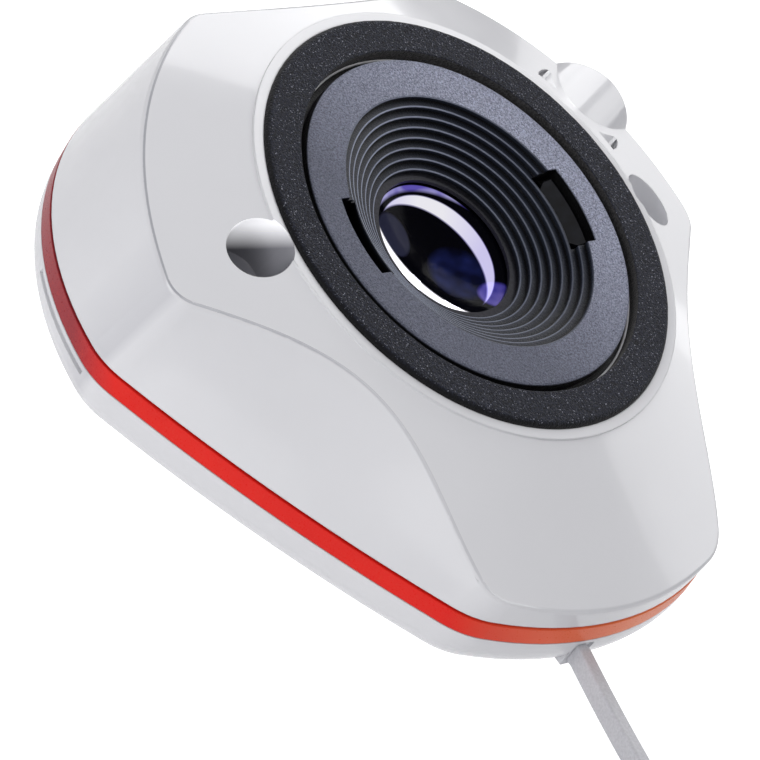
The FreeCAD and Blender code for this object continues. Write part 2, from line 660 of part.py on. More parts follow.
def main_board():
    """Round circuit board with screw holes and a flat towards the cable."""
    low = BOARD_TOP - BOARD_THICKNESS
    board = cylinder(BOARD_R, low, BOARD_TOP).cut(block(50, 10, -FAR, 0, 0, -BOARD_R - 3.6))
    for angle in BOARD_POST_ANGLES:
        spot = polar(BOARD_POST_R, angle)
        board = board.cut(screw_hole(spot.x, spot.y, -FAR, 0))
    return board


def controller_chip():
    """Microcontroller in a square leadless package."""
    chip = block(6.0, 6.0, BOARD_TOP, BOARD_TOP + 0.9, 0, 11.2)
    return chip.cut(cylinder(0.4, BOARD_TOP + 0.8, BOARD_TOP + 2, -2.2, 13.4))


def board_components():
    """Crystal, regulator, memory and a row of capacitors as separate solids."""
    parts = [block(3.2, 2.5, BOARD_TOP, BOARD_TOP + 0.8, -8.5, 12.0),
             block(3.0, 1.6, BOARD_TOP, BOARD_TOP + 1.0, 9.0, 12.5),
             block(3.0, 4.4, BOARD_TOP, BOARD_TOP + 1.2, 12.5, 3.5)]
    for index in range(5):
        parts.append(block(0.8, 1.6, BOARD_TOP, BOARD_TOP + 0.8, -13.5, -3.0 + 2.4 * index))
    return Part.makeCompound(parts)


def wire_header():
    """Board connector for the cable's conductors, on the back of the board."""
    low = BOARD_TOP - BOARD_THICKNESS
    body = block(8.4, 4.0, low - 2.6, low, 0, HEADER_Y)
    return body.cut(block(7.2, 3.4, low - 2.0, low - 0.6, 0, HEADER_Y - 1.6))


def board_screws():
    """Three screws that hang the board on the insert's posts."""
    low = BOARD_TOP - BOARD_THICKNESS
    screws = []
    for angle in BOARD_POST_ANGLES:
        spot = polar(BOARD_POST_R, angle)
        screws.append(screw(spot.x, spot.y, low - SCREW_HEAD_H - 0.01, BOARD_TOP + BOARD_SCREW_REACH))
    return Part.makeCompound(screws)


def insert_screws():
    """Four screws through the insert's ears into the front shell."""
    head_z = ear_top() - EAR_THICKNESS - SCREW_HEAD_H - 0.01
    return Part.makeCompound([screw(x, y, head_z, EAR_SCREW_TIP) for x, y in EAR_POINTS])


def housing_screws():
    """Four screws from the back into the front shell's posts."""
    head_z = COUNTERBORE_DEPTH - SCREW_HEAD_H - 0.02
    tip_z = FRONT_BOTTOM + HOUSING_SCREW_REACH
    return Part.makeCompound([screw(x, y, head_z, tip_z) for x, y in HOUSING_SCREWS])


def contact_gasket():
    """Foam ring that rests on the display, rounded on both upper edges."""
    ring = tube(GASKET_R, GASKET_INNER_R, -GASKET_SEAT, GASKET_PROUD)
    rims = [edge for edge in ring.Edges if edge.BoundBox.ZMin > GASKET_PROUD - 0.01]
    return ring.makeFillet(GASKET_ROUNDING, rims)


def tripod_insert():
    """Brass insert with the standard quarter-inch camera thread bore."""
    insert = cylinder(TRIPOD_INSERT_R, 0.05, TRIPOD_DEPTH - 0.05, *TRIPOD_POINT)
    insert = insert.cut(tube(10, TRIPOD_INSERT_R - 0.4, 2.6, 3.6, *TRIPOD_POINT))
    return insert.cut(cylinder(TRIPOD_R, -1, TRIPOD_DEPTH - TRIPOD_FLOOR, *TRIPOD_POINT))


def light_window():
    """Diffusing window over the ambient light sensor in the back."""
    pane = cylinder(WINDOW_R, 0.05, WINDOW_DEPTH - 0.02, *WINDOW_POINT)
    return pane.makeFillet(0.25, [edge for edge in pane.Edges if edge.BoundBox.ZMax < 0.06])


def ambient_sensor():
    """Ambient light sensor behind the window, on the back of the board."""
    low = BOARD_TOP - BOARD_THICKNESS
    return block(3.6, 2.8, low - 1.0, low, WINDOW_POINT[0], -11.4)


def cable_wires():
    """Four insulated conductors between the cable's end and the board connector."""
    wires = []
    for index in range(4):
        lateral = (index - 1.5) * 1.3
        rise = 0.45 if index % 2 else -0.45
        start = Vector(CABLE_X + lateral * 0.28, ENTRY_IN_Y + 0.05, CABLE_Z + rise)
        goal = LENS_FRAME.multVec(Vector(lateral, HEADER_Y - 2.1, BOARD_TOP - BOARD_THICKNESS - 1.6))
        ahead = Vector(0, 5.0, 0)
        path = Part.BezierCurve()
        path.setPoles([start, start + ahead, goal - ahead - Vector(0, 0, 0.6), goal])
        ring = Part.Wire(Part.makeCircle(WIRE_R, start, Vector(0, 1, 0)))
        wires.append(Part.Wire(path.toShape()).makePipeShell([ring], True, False))
    return Part.makeCompound(wires)


def plug_box(size_x, size_y, size_z, ahead):
    """Box centred on the plug's axis, starting a distance ahead of the cable's end."""
    spot = plug_point()
    return Part.makeBox(size_x, size_y, size_z,
                        Vector(spot.x - size_x / 2, spot.y - ahead - size_y, CABLE_Z - size_z / 2))


def along_y(shape, least):
    """Edges of a shape that run along Y for at least a given length."""
    return [edge for edge in shape.Edges if edge.BoundBox.YLength > least]


def usb_plug_grip():
    """Moulded grip of the plug with a slim neck."""
    neck_start = CABLE_WIDTH / 2 + HINGE_GAP
    neck = plug_box(3.6, PLUG_NECK + 1.0, 4.2, neck_start)
    neck = neck.makeFillet(0.8, along_y(neck, 3))
    body = plug_box(PLUG_WIDTH, PLUG_LENGTH, PLUG_HEIGHT, neck_start + PLUG_NECK)
    body = body.makeFillet(1.6, along_y(body, 5))
    ends = [edge for edge in body.Edges if edge.BoundBox.YLength < 0.01]
    body = body.makeFillet(0.6, ends)
    socket = plug_box(SHELL_WIDTH + 0.04, 10.0, SHELL_HEIGHT + 0.04, shell_start())
    return neck.fuse(body).cut(socket).removeSplitter()


def shell_start():
    """Distance from the cable's end to the hidden end of the plug's steel shell."""
    return CABLE_WIDTH / 2 + HINGE_GAP + PLUG_NECK + PLUG_LENGTH - SHELL_SUNK


def usb_plug_shell():
    """Folded steel shell of the plug with two latch windows on each face."""
    length = SHELL_SUNK - 0.1 + SHELL_LENGTH
    start = shell_start() + 0.1
    shell = plug_box(SHELL_WIDTH, length, SHELL_HEIGHT, start)
    shell = shell.makeFillet(0.5, along_y(shell, 10))
    inside = plug_box(SHELL_WIDTH - 2 * SHELL_WALL, length + 2, SHELL_HEIGHT - 2 * SHELL_WALL, start - 1)
    shell = shell.cut(inside.makeFillet(0.2, along_y(inside, 10)))
    for side in (-1, 1):
        window = plug_box(2.4, 2.2, SHELL_HEIGHT + 2, start + length - 7.4)
        window.translate(Vector(side * 2.7, 0, 0))
        shell = shell.cut(window)
    return shell


def tongue_low():
    """Height of the lower face of the plastic tongue."""
    return CABLE_Z - SHELL_HEIGHT / 2 + SHELL_WALL + 0.05


def usb_plug_insert():
    """Plastic tongue inside the plug's shell."""
    tongue = plug_box(SHELL_WIDTH - 2 * SHELL_WALL - 0.5, SHELL_SUNK + SHELL_LENGTH - 1.2, TONGUE_HEIGHT,
                      shell_start() + 0.15)
    tongue.translate(Vector(0, 0, tongue_low() + TONGUE_HEIGHT / 2 - CABLE_Z))
    return tongue


def usb_contacts():
    """Four gilt contact strips on the tongue, the outer pair longer."""
    strips = []
    front = shell_start() + SHELL_SUNK + SHELL_LENGTH - 1.6
    for index, length in enumerate((8.6, 7.6, 7.6, 8.6)):
        strip = plug_box(1.1, length, 0.15, front - length)
        lift = tongue_low() + TONGUE_HEIGHT + 0.09 - CABLE_Z
        strip.translate(Vector((index - 1.5) * 2.2, 0, lift))
        strips.append(strip)
    return Part.makeCompound(strips)


ROW_PARTS = {
    "front_shell": front_shell,
    "trim_band": trim_band,
    "rear_shell": rear_shell,
    "housing_screws": housing_screws,
    "tripod_insert": tripod_insert,
    "light_window": light_window,
    "cable_grommet": cable_grommet,
    "cable_entry": cable_entry,
    "cable_wires": cable_wires,
    "usb_cable": usb_cable,
    "usb_plug_grip": usb_plug_grip,
    "usb_plug_shell": usb_plug_shell,
    "usb_plug_insert": usb_plug_insert,
    "usb_contacts": usb_contacts,
}

LENS_PARTS = {
    "contact_gasket": contact_gasket,
    "baffle_plate": baffle_plate,
    "insert_screws": insert_screws,
    "front_lens": front_lens,
    "lens_retainer": lens_retainer,
    "lens_barrel": lens_barrel,
    "rear_lens": rear_lens,
    "aperture_stop": aperture_stop,
    "colour_filter": colour_filter,
    "shroud_seal": shroud_seal,
    "sensor_shroud": sensor_shroud,
    "sensor_chip": sensor_chip,
    "main_board": main_board,
    "controller_chip": controller_chip,
    "board_components": board_components,
    "ambient_sensor": ambient_sensor,
    "wire_header": wire_header,
    "board_screws": board_screws,
}

os.makedirs("parts", exist_ok=True)
for node, make in ROW_PARTS.items():
    make().exportStep("parts/" + node + ".step")
for node, make in LENS_PARTS.items():
    in_row(make()).exportStep("parts/" + node + ".step")
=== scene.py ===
"""Looks of the display colorimeter puck: materials, foam ring, lens, cable, light and camera."""
import json
import math

import bpy
import bmesh
from mathutils import Matrix, Vector, noise

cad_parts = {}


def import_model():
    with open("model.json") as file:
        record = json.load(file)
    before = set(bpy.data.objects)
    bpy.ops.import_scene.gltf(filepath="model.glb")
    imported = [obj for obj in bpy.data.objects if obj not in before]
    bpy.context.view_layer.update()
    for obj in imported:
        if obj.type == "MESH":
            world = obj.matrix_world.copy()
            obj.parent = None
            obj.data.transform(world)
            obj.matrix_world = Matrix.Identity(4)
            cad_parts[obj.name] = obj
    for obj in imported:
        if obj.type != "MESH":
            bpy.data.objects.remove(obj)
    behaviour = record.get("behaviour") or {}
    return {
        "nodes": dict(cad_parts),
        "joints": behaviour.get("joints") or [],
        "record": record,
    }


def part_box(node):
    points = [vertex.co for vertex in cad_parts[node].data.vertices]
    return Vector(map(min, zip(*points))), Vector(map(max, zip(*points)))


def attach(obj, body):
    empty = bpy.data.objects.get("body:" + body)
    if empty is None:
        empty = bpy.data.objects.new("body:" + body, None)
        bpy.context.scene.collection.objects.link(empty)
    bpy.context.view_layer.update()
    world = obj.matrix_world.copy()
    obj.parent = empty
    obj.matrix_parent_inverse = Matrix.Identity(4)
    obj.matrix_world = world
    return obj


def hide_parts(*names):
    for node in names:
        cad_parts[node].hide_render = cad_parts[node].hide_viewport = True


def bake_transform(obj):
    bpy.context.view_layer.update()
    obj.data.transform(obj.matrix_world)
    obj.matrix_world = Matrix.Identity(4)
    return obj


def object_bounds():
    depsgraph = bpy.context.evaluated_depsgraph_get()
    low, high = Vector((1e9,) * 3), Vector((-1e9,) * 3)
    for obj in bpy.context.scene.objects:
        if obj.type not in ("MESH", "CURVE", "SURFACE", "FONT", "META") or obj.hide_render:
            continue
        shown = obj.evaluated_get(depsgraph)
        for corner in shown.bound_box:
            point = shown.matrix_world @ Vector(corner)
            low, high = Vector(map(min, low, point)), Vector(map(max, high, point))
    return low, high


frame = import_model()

CAD_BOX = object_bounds()
NODES = frame["nodes"]
MM = 0.001


# --- the lens frame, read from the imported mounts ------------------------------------
def mount(name):
    """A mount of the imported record."""
    return next(m for m in frame["record"]["mounts"] if m["name"] == name)


LENS_AXIS = Vector(mount("contact_face")["axis"]).normalized()
LENS_X = Vector((1, 0, 0))
LENS_UP = LENS_AXIS.cross(LENS_X)
GASKET_MID_R = 21.0 * MM
GASKET_PROUD = 0.6 * MM
RING_CENTRE = Vector(mount("contact_face")["pos_m"]) + LENS_UP * GASKET_MID_R - LENS_AXIS * GASKET_PROUD
LEFT_SOCKET = Vector(mount("left_cap_socket")["pos_m"])
SOCKET_R = mount("left_cap_socket")["dims"]["r_mm"]


def lens_direction(x, y, z):
    """Row-frame direction of a lens-frame direction."""
    return LENS_X * x + LENS_UP * y + LENS_AXIS * z


def lens_point(x, y, z):
    """Row-frame point of lens-frame millimetres."""
    return RING_CENTRE + lens_direction(x, y, z) * MM


# --- shader helpers ----------------------------------------------------------------------
class Shader:
    """A material with a principled surface and short calls for the nodes used here."""

    def __init__(self, name, color, roughness, **inputs):
        self.material = bpy.data.materials.new(name)
        self.material.use_nodes = True
        self.tree = self.material.node_tree
        self.surface = self.tree.nodes["Principled BSDF"]
        self.surface.inputs["Base Color"].default_value = (*color, 1)
        self.surface.inputs["Roughness"].default_value = roughness
        for key, value in inputs.items():
            self.surface.inputs[key.replace("_", " ")].default_value = value
        self.place = self.node("ShaderNodeTexCoord").outputs["Object"]

    def node(self, kind, **settings):
        """A new node with its settings."""
        made = self.tree.nodes.new(kind)
        for key, value in settings.items():
            setattr(made, key, value)
        return made

    def feed(self, socket, value):
        """Link a socket, or set it to a plain value."""
        if isinstance(value, bpy.types.NodeSocket):
            self.tree.links.new(value, socket)
        else:
            socket.default_value = value

    def math(self, operation, a, b=0.0, clamp=False):
        """Arithmetic on two values."""
        made = self.node("ShaderNodeMath", operation=operation, use_clamp=clamp)
        self.feed(made.inputs[0], a)
        self.feed(made.inputs[1], b)
        return made.outputs[0]

    def noise(self, scale, detail=3.0, rough=0.55, place=None):
        """Fractal noise; scale is in features per metre."""
        made = self.node("ShaderNodeTexNoise")
        self.feed(made.inputs["Vector"], place or self.place)
        made.inputs["Scale"].default_value = scale
        made.inputs["Detail"].default_value = detail
        made.inputs["Roughness"].default_value = rough
        return made.outputs["Fac"]

    def swirl(self, scale, reach):
        """Shading position pushed about by noise."""
        made = self.node("ShaderNodeTexNoise")
        self.feed(made.inputs["Vector"], self.place)
        made.inputs["Scale"].default_value = scale
        push = self.node("ShaderNodeVectorMath", operation="MULTIPLY_ADD")
        self.feed(push.inputs[0], made.outputs["Color"])
        push.inputs[1].default_value = (reach, reach, reach)
        self.feed(push.inputs[2], self.place)
        return push.outputs[0]

    def cells(self, scale, feature="F1", randomness=1.0):
        """Distance to the nearest cell point."""
        made = self.node("ShaderNodeTexVoronoi", feature=feature)
        self.feed(made.inputs["Vector"], self.place)
        made.inputs["Scale"].default_value = scale
        made.inputs["Randomness"].default_value = randomness
        return made.outputs["Distance"]

    def remap(self, value, low, high, to_low, to_high):
        """Linear map of a value from one range to another, clamped."""
        made = self.node("ShaderNodeMapRange")
        self.feed(made.inputs["Value"], value)
        for key, number in (("From Min", low), ("From Max", high), ("To Min", to_low), ("To Max", to_high)):
            self.feed(made.inputs[key], number)
        return made.outputs["Result"]

    def mix(self, factor, a, b):
        """Mix of two colours."""
        made = self.node("ShaderNodeMix", data_type="RGBA")
        self.feed(made.inputs["Factor"], factor)
        self.feed(made.inputs["A"], a if isinstance(a, bpy.types.NodeSocket) else (*a, 1))
        self.feed(made.inputs["B"], b if isinstance(b, bpy.types.NodeSocket) else (*b, 1))
        return made.outputs["Result"]

    def color(self, value):
        """Base colour."""
        self.feed(self.surface.inputs["Base Color"], value)
        return self

    def roughness(self, value):
        """Roughness."""
        self.feed(self.surface.inputs["Roughness"], value)
        return self

    def rounded_normal(self, radius):
        """Normal softened over sharp edges."""
        made = self.node("ShaderNodeBevel", samples=4)
        made.inputs["Radius"].default_value = radius
        return made.outputs["Normal"]

    def bump(self, height, strength, distance, normal=None):
        """Bump the surface by a height, over an optional normal."""
        made = self.node("ShaderNodeBump")
        made.inputs["Strength"].default_value = strength
        made.inputs["Distance"].default_value = distance
        self.feed(made.inputs["Height"], height)
        if normal is not None:
            self.feed(made.inputs["Normal"], normal)
        self.feed(self.surface.inputs["Normal"], made.outputs["Normal"])
        return self

    def line_distance(self, start, direction):
        """Distance of the shaded point from a line."""
        away = self.node("ShaderNodeVectorMath", operation="SUBTRACT")
        self.feed(away.inputs[0], self.place)
        away.inputs[1].default_value = start
        across = self.node("ShaderNodeVectorMath", operation="CROSS_PRODUCT")
        self.feed(across.inputs[0], away.outputs[0])
        across.inputs[1].default_value = direction
        length = self.node("ShaderNodeVectorMath", operation="LENGTH")
        self.feed(length.inputs[0], across.outputs[0])
        return length.outputs["Value"]

    def lens_radius(self):
        """Distance of the shaded point from the lens axis."""
        return self.line_distance(RING_CENTRE, LENS_AXIS)

    def above(self, start, direction):
        """Distance of the shaded point along a direction from a start point."""
        away = self.node("ShaderNodeVectorMath", operation="SUBTRACT")
        self.feed(away.inputs[0], self.place)
        away.inputs[1].default_value = start
        along = self.node("ShaderNodeVectorMath", operation="DOT_PRODUCT")
        self.feed(along.inputs[0], away.outputs[0])
        along.inputs[1].default_value = direction
        return along.outputs["Value"]

    def facing(self, direction):
        """Cosine between the surface and a fixed direction."""
        made = self.node("ShaderNodeVectorMath", operation="DOT_PRODUCT")
        self.feed(made.inputs[0], self.node("ShaderNodeNewGeometry").outputs["Normal"])
        made.inputs[1].default_value = direction
        return made.outputs["Value"]


# --- where the materials change, in millimetres of the lens frame unless said ---------------
GASKET_R = 23.0
PLATE_TOP = 0.3
FUNNEL_R = 14.1
STEP_RUN = 0.82
STEP_DROP = 0.567

# direction across the left socket from the dark side to the lit side of its painted shade (row frame)
SOCKET_LIT_SIDE = Vector((0.12, 0.73, 0.67))

# crease between the -X corner and the cable side's wall: a point, its run and its corner side (row frame)
CREASE_FOOT = Vector((-36.3, 2.6, 7.3)) * MM
CREASE_RISE = Vector((0.10, -0.17, 0.98))
CREASE_SIDE = Vector((0.0, 0.985, 0.171))

# circles that bound the painted reflections in the lens: centre and radius
LENS_OPENING_R = 7.42
FAR_SURFACE_R = 6.55
NEAR_GLINT = ((1.78, 0.91), 8.6)
FAR_GLINT = ((-1.32, -0.70), 6.55)
VIOLET_GLINT = ((-0.1, -1.6), 8.55)
NAVY_GHOST = ((2.2, -2.2), 2.9)
GREY_GHOST = ((-3.6, 2.9), 2.2)
VIOLET_PATCH = ((4.3, -5.6), 1.7)


# --- materials ---------------------------------------------------------------------------
def rim_shade(s):
    """Painted shade: 1 on the narrow rounding between the face and the walls, strongest at the -X side."""
    lean = s.facing(LENS_AXIS)
    rounding = s.math("MULTIPLY", s.remap(lean, 0.66, 0.76, 0, 1), s.remap(lean, 0.86, 0.92, 1, 0))
    return s.math("MULTIPLY", rounding, s.remap(s.above(RING_CENTRE, -LENS_X), 12 * MM, 27 * MM, 0.15, 1))


def crease_shade(s):
    """Painted shade: 1 at the crease between the -X corner and the cable side, fading along the corner's
    wall.
    """
    away = s.above(CREASE_FOOT, CREASE_SIDE)
    past_crease = s.remap(away, -0.6 * MM, 0.4 * MM, 0, 1)
    strip = s.math("MULTIPLY", past_crease, s.remap(away, 0.4 * MM, 7 * MM, 1, 0))
    near = s.remap(s.line_distance(CREASE_FOOT, CREASE_RISE), 6 * MM, 9 * MM, 1, 0)
    return s.math("MULTIPLY", strip, near)


def socket_shade(s, tone):
    """Colour of the left socket with painted light and shade: lit at the top by emission, painted dark and
    graded below.
    """
    from_axis = s.line_distance(LEFT_SOCKET, LENS_AXIS)
    inside = s.remap(from_axis, (SOCKET_R + 0.03) * MM, (SOCKET_R + 0.08) * MM, 1, 0)
    below = s.remap(s.above(LEFT_SOCKET, SOCKET_LIT_SIDE), 1.0 * MM, 3.2 * MM, 1, 0)
    across = s.remap(s.above(LEFT_SOCKET, LENS_X), -2.4 * MM, 3.2 * MM, 0, 1)
    shade = s.mix(across, (0.012, 0.013, 0.022), (0.30, 0.30, 0.33))
    s.surface.inputs["Emission Color"].default_value = (0.97, 0.97, 1.0, 1)
    lit = s.math("MULTIPLY", inside, s.math("SUBTRACT", 1.0, below))
    s.feed(s.surface.inputs["Emission Strength"], s.math("MULTIPLY", lit, 0.62))
    return s.mix(s.math("MULTIPLY", inside, below), tone, shade)


def white_gloss():
    """Glossy white plastic with faint clouding, dust, and painted light and shade at the rim, the crease and
    a socket.
    """
    s = Shader("white_gloss", (0.80, 0.80, 0.825), 0.2, Coat_Weight=0.5, Coat_Roughness=0.06)
    cloud = s.noise(35, 3)
    speck = s.cells(1400)
    tone = s.mix(s.remap(cloud, 0.3, 0.7, 0, 1), (0.775, 0.775, 0.80), (0.81, 0.81, 0.835))
    dust = s.remap(speck, 0.02, 0.06, 0.35, 0.0)
    tone = s.mix(dust, tone, (0.70, 0.70, 0.72))
    # painted shade: a strip beside the crease on the walls and a dark line on the rounding of the rim
    wall_only = s.remap(s.facing(LENS_AXIS), 0.62, 0.72, 1, 0)
    crease = s.math("MULTIPLY", crease_shade(s), wall_only)
    tone = s.mix(s.math("MULTIPLY", crease, 0.42), tone, (0.46, 0.46, 0.50))
    tone = s.mix(s.math("MULTIPLY", rim_shade(s), 0.8), tone, (0.34, 0.34, 0.38))
    # painted light and shade in the left socket
    s.color(socket_shade(s, tone))
    s.roughness(s.remap(s.noise(260, 4), 0.3, 0.75, 0.13, 0.24))
    return s.bump(s.noise(700, 2), 0.06, 0.00005, s.rounded_normal(0.0002)).material


def red_band():
    """Satin red plastic, with painted light making it orange towards the cable and painted shade making it
    dusky behind the -X corner.
    """
    s = Shader("red_band", (0.75, 0.02, 0.012), 0.3, Coat_Weight=0.1, Coat_Roughness=0.2)
    grain = s.noise(5200, 2)
    cloud = s.noise(60, 3)
    tone = s.mix(s.remap(cloud, 0.3, 0.7, 0, 1), (0.78, 0.008, 0.004), (0.90, 0.016, 0.007))
    along = s.above(Vector((0, 0, 0)), Vector((0.7, -0.55, 0.46)))
    # painted light: orange towards the cable
    tone = s.mix(s.remap(along, 8 * MM, 26 * MM, 0, 1), tone, (0.98, 0.24, 0.085))
    # painted shade: dusky red behind the -X corner
    tone = s.mix(s.remap(along, -26.5 * MM, -22.5 * MM, 1, 0), tone, (0.34, 0.022, 0.032))
    s.color(s.mix(s.remap(grain, 0.55, 0.75, 0, 0.3), tone, (0.82, 0.08, 0.04)))
    s.surface.inputs["Specular IOR Level"].default_value = 0.25
    s.roughness(s.remap(grain, 0.3, 0.7, 0.25, 0.45))
    return s.bump(grain, 0.12, 0.00004, s.rounded_normal(0.00015)).material


def foam():
    """Black foam: a fine skin with specks on the front, an open cut surface on the sides, and painted shade
    round its outer rim.
    """
    s = Shader("contact_foam", (0.02, 0.021, 0.027), 0.8, Sheen_Weight=0.1, Sheen_Roughness=0.5)
    on_skin = s.remap(s.facing(LENS_AXIS), 0.35, 0.75, 0, 1)
    grain = s.noise(4600, 4, 0.8)
    speck = s.remap(s.noise(6200, 1), 0.66, 0.74, 0.0, 1.0)
    tone = s.mix(s.remap(grain, 0.40, 0.62, 0, 1), (0.0010, 0.0013, 0.0030), (0.019, 0.022, 0.040))
    cut = s.mix(s.remap(grain, 0.40, 0.62, 0, 1), (0.012, 0.0115, 0.012), (0.060, 0.058, 0.060))
    tone = s.mix(s.math("MULTIPLY", speck, on_skin), s.mix(on_skin, cut, tone), (0.36, 0.37, 0.44))
    # painted shade: a dark line on the outer rounding, where the foam meets its seat
    shoulder_shade = s.remap(s.lens_radius(), (GASKET_R - 0.45) * MM, (GASKET_R - 0.15) * MM, 0, 0.9)
    s.color(s.mix(shoulder_shade, tone, (0.002, 0.002, 0.003)))
    s.surface.inputs["Specular IOR Level"].default_value = 0.2
    pores = s.math("ADD", s.remap(s.cells(3600), 0.0, 0.6, 0, 0.6), grain)
    return s.bump(pores, 0.9, 0.00012).material


def baffle():
    """Grained blue-black plate with painted sheen and shade, and a smooth, dark funnel with painted shade on
    its treads and painted highlights on its step edges.
    """
    s = Shader("baffle_black", (0.07, 0.075, 0.095), 0.5)
    radius = s.lens_radius()
    level = s.above(RING_CENTRE, LENS_AXIS)
    on_top = s.remap(level, (PLATE_TOP - 0.22) * MM, (PLATE_TOP - 0.08) * MM, 0, 1)
    past_funnel = s.remap(radius, (FUNNEL_R + 0.05) * MM, (FUNNEL_R + 0.10) * MM, 0, 1)
    on_plate = s.math("MULTIPLY", past_funnel, on_top)
    worm = s.noise(5400, 3, 0.6, s.swirl(4200, 0.00018))
    leather = s.math("ADD", worm, s.math("MULTIPLY", s.cells(6000, "SMOOTH_F1"), 0.35))
    # grain tones: real grain, its pale blue-grey partly painted sheen
    tone = s.mix(s.remap(leather, 0.45, 0.85, 0, 1), (0.150, 0.160, 0.218), (0.560, 0.590, 0.765))
    # painted shade: the plate darkens away from the lens +x, +y side
    away = s.above(RING_CENTRE, lens_direction(0.86, 0.51, 0))
    tone = s.mix(s.remap(away, -9 * MM, 15 * MM, 0.74, 0), tone, (0.060, 0.067, 0.100))
    steps_down = s.math("DIVIDE", s.math("SUBTRACT", level, PLATE_TOP * MM), STEP_DROP * MM)
    steps_in = s.math("DIVIDE", s.math("SUBTRACT", FUNNEL_R * MM, radius), STEP_RUN * MM)
    tread = s.math("ADD", steps_down, steps_in)
    # painted shade: treads darker towards their inner corners
    dusky = s.mix(s.remap(tread, -0.95, -0.2, 0, 1), (0.001, 0.001, 0.0015), (0.020, 0.024, 0.038))
    in_funnel = s.remap(radius, (FUNNEL_R + 0.05) * MM, (FUNNEL_R + 0.15) * MM, 1, 0)
    # painted highlight along the step edges, brighter on the lit side
    across = s.above(RING_CENTRE, lens_direction(-0.85, 0.35, 0))
    lit_side = s.remap(across, -12 * MM, 9 * MM, 0.12, 1)
    edge_highlight = s.math("MULTIPLY", s.remap(tread, -0.20, -0.08, 0, 1), s.math("MULTIPLY", in_funnel, lit_side))
    step = s.mix(edge_highlight, dusky, (0.42, 0.46, 0.60))
    s.color(s.mix(on_plate, step, tone))
    s.surface.inputs["Specular IOR Level"].default_value = 0.25
    s.roughness(s.remap(on_plate, 0, 1, 0.34, 0.50))
    height = s.math("MULTIPLY", leather, s.math("ADD", on_plate, 0.25))
    return s.bump(height, 1.0, 0.00026, s.rounded_normal(0.00008)).material


def moulded_black():
    """Glossy black moulded plastic."""
    s = Shader("moulded_black", (0.005, 0.005, 0.007), 0.12)
    fine = s.noise(900, 3)
    s.color(s.mix(s.remap(fine, 0.3, 0.7, 0, 1), (0.003, 0.003, 0.004), (0.008, 0.009, 0.013)))
    s.roughness(s.remap(fine, 0.3, 0.7, 0.08, 0.2))
    s.surface.inputs["Specular IOR Level"].default_value = 0.45
    return s.bump(fine, 0.1, 0.00003, s.rounded_normal(0.00015)).material


def anodised():
    """Black anodised metal."""
    s = Shader("black_anodised", (0.02, 0.02, 0.024), 0.35, Metallic=0.7)
    fine = s.noise(3800, 3)
    s.color(s.mix(s.remap(fine, 0.3, 0.7, 0, 1), (0.014, 0.014, 0.018), (0.035, 0.035, 0.045)))
    s.roughness(s.remap(fine, 0.3, 0.7, 0.28, 0.45))
    return s.bump(fine, 0.2, 0.00003).material


def coated_glass():
    """Dark coated glass of the inner lens."""
    s = Shader("coated_glass", (0.02, 0.02, 0.10), 0.02, IOR=1.6, Coat_Weight=1.0, Coat_Roughness=0.01)
    cloud = s.noise(120, 2)
    s.color(s.mix(s.remap(cloud, 0.4, 0.6, 0, 1), (0.004, 0.004, 0.02), (0.006, 0.008, 0.05)))
    s.surface.inputs["Specular Tint"].default_value = (0.55, 0.5, 1.0, 1)
    return s.material


def lens_disc(s, spot, radius, soft):
    """1 inside a circle of the lens plane, 0 outside, in millimetres."""
    away = s.line_distance(lens_point(spot[0], spot[1], 0), LENS_AXIS)
    return s.remap(away, (radius - soft) * MM, (radius + soft) * MM, 1, 0)


def outside(s, mask):
    """The opposite of a mask."""
    return s.math("SUBTRACT", 1.0, mask)


def lens_front():
    """Coated front of the lens: clear, with a painted reflection along one rim, a bright crescent that
    glows.
    """
    s = Shader("lens_front", (0.9, 0.9, 1.0), 0.015, Metallic=1.0)
    smear = s.noise(260, 3)
    s.roughness(s.remap(smear, 0.4, 0.7, 0.01, 0.03))
    s.color(s.mix(s.remap(smear, 0.3, 0.7, 0, 1), (0.86, 0.86, 0.98), (0.95, 0.95, 1.0)))
    # painted reflection: a glowing crescent along one rim, opaque where it shows
    crescent = outside(s, lens_disc(s, *NEAR_GLINT, 0.05))
    s.surface.inputs["Emission Color"].default_value = (0.97, 0.96, 1.0, 1)
    s.feed(s.surface.inputs["Emission Strength"], s.math("MULTIPLY", crescent, 0.95))
    clear = s.node("ShaderNodeBsdfTransparent")
    veil = s.math("MULTIPLY", crescent, 0.95)
    seen = outside(s, s.node("ShaderNodeNewGeometry").outputs["Backfacing"])
    blend = s.node("ShaderNodeMixShader")
    s.feed(blend.inputs[0], s.math("MULTIPLY", veil, seen))
    s.feed(blend.inputs[1], clear.outputs[0])
    s.feed(blend.inputs[2], s.surface.outputs[0])
    s.feed(s.tree.nodes["Material Output"].inputs["Surface"], blend.outputs[0])
    return s.material


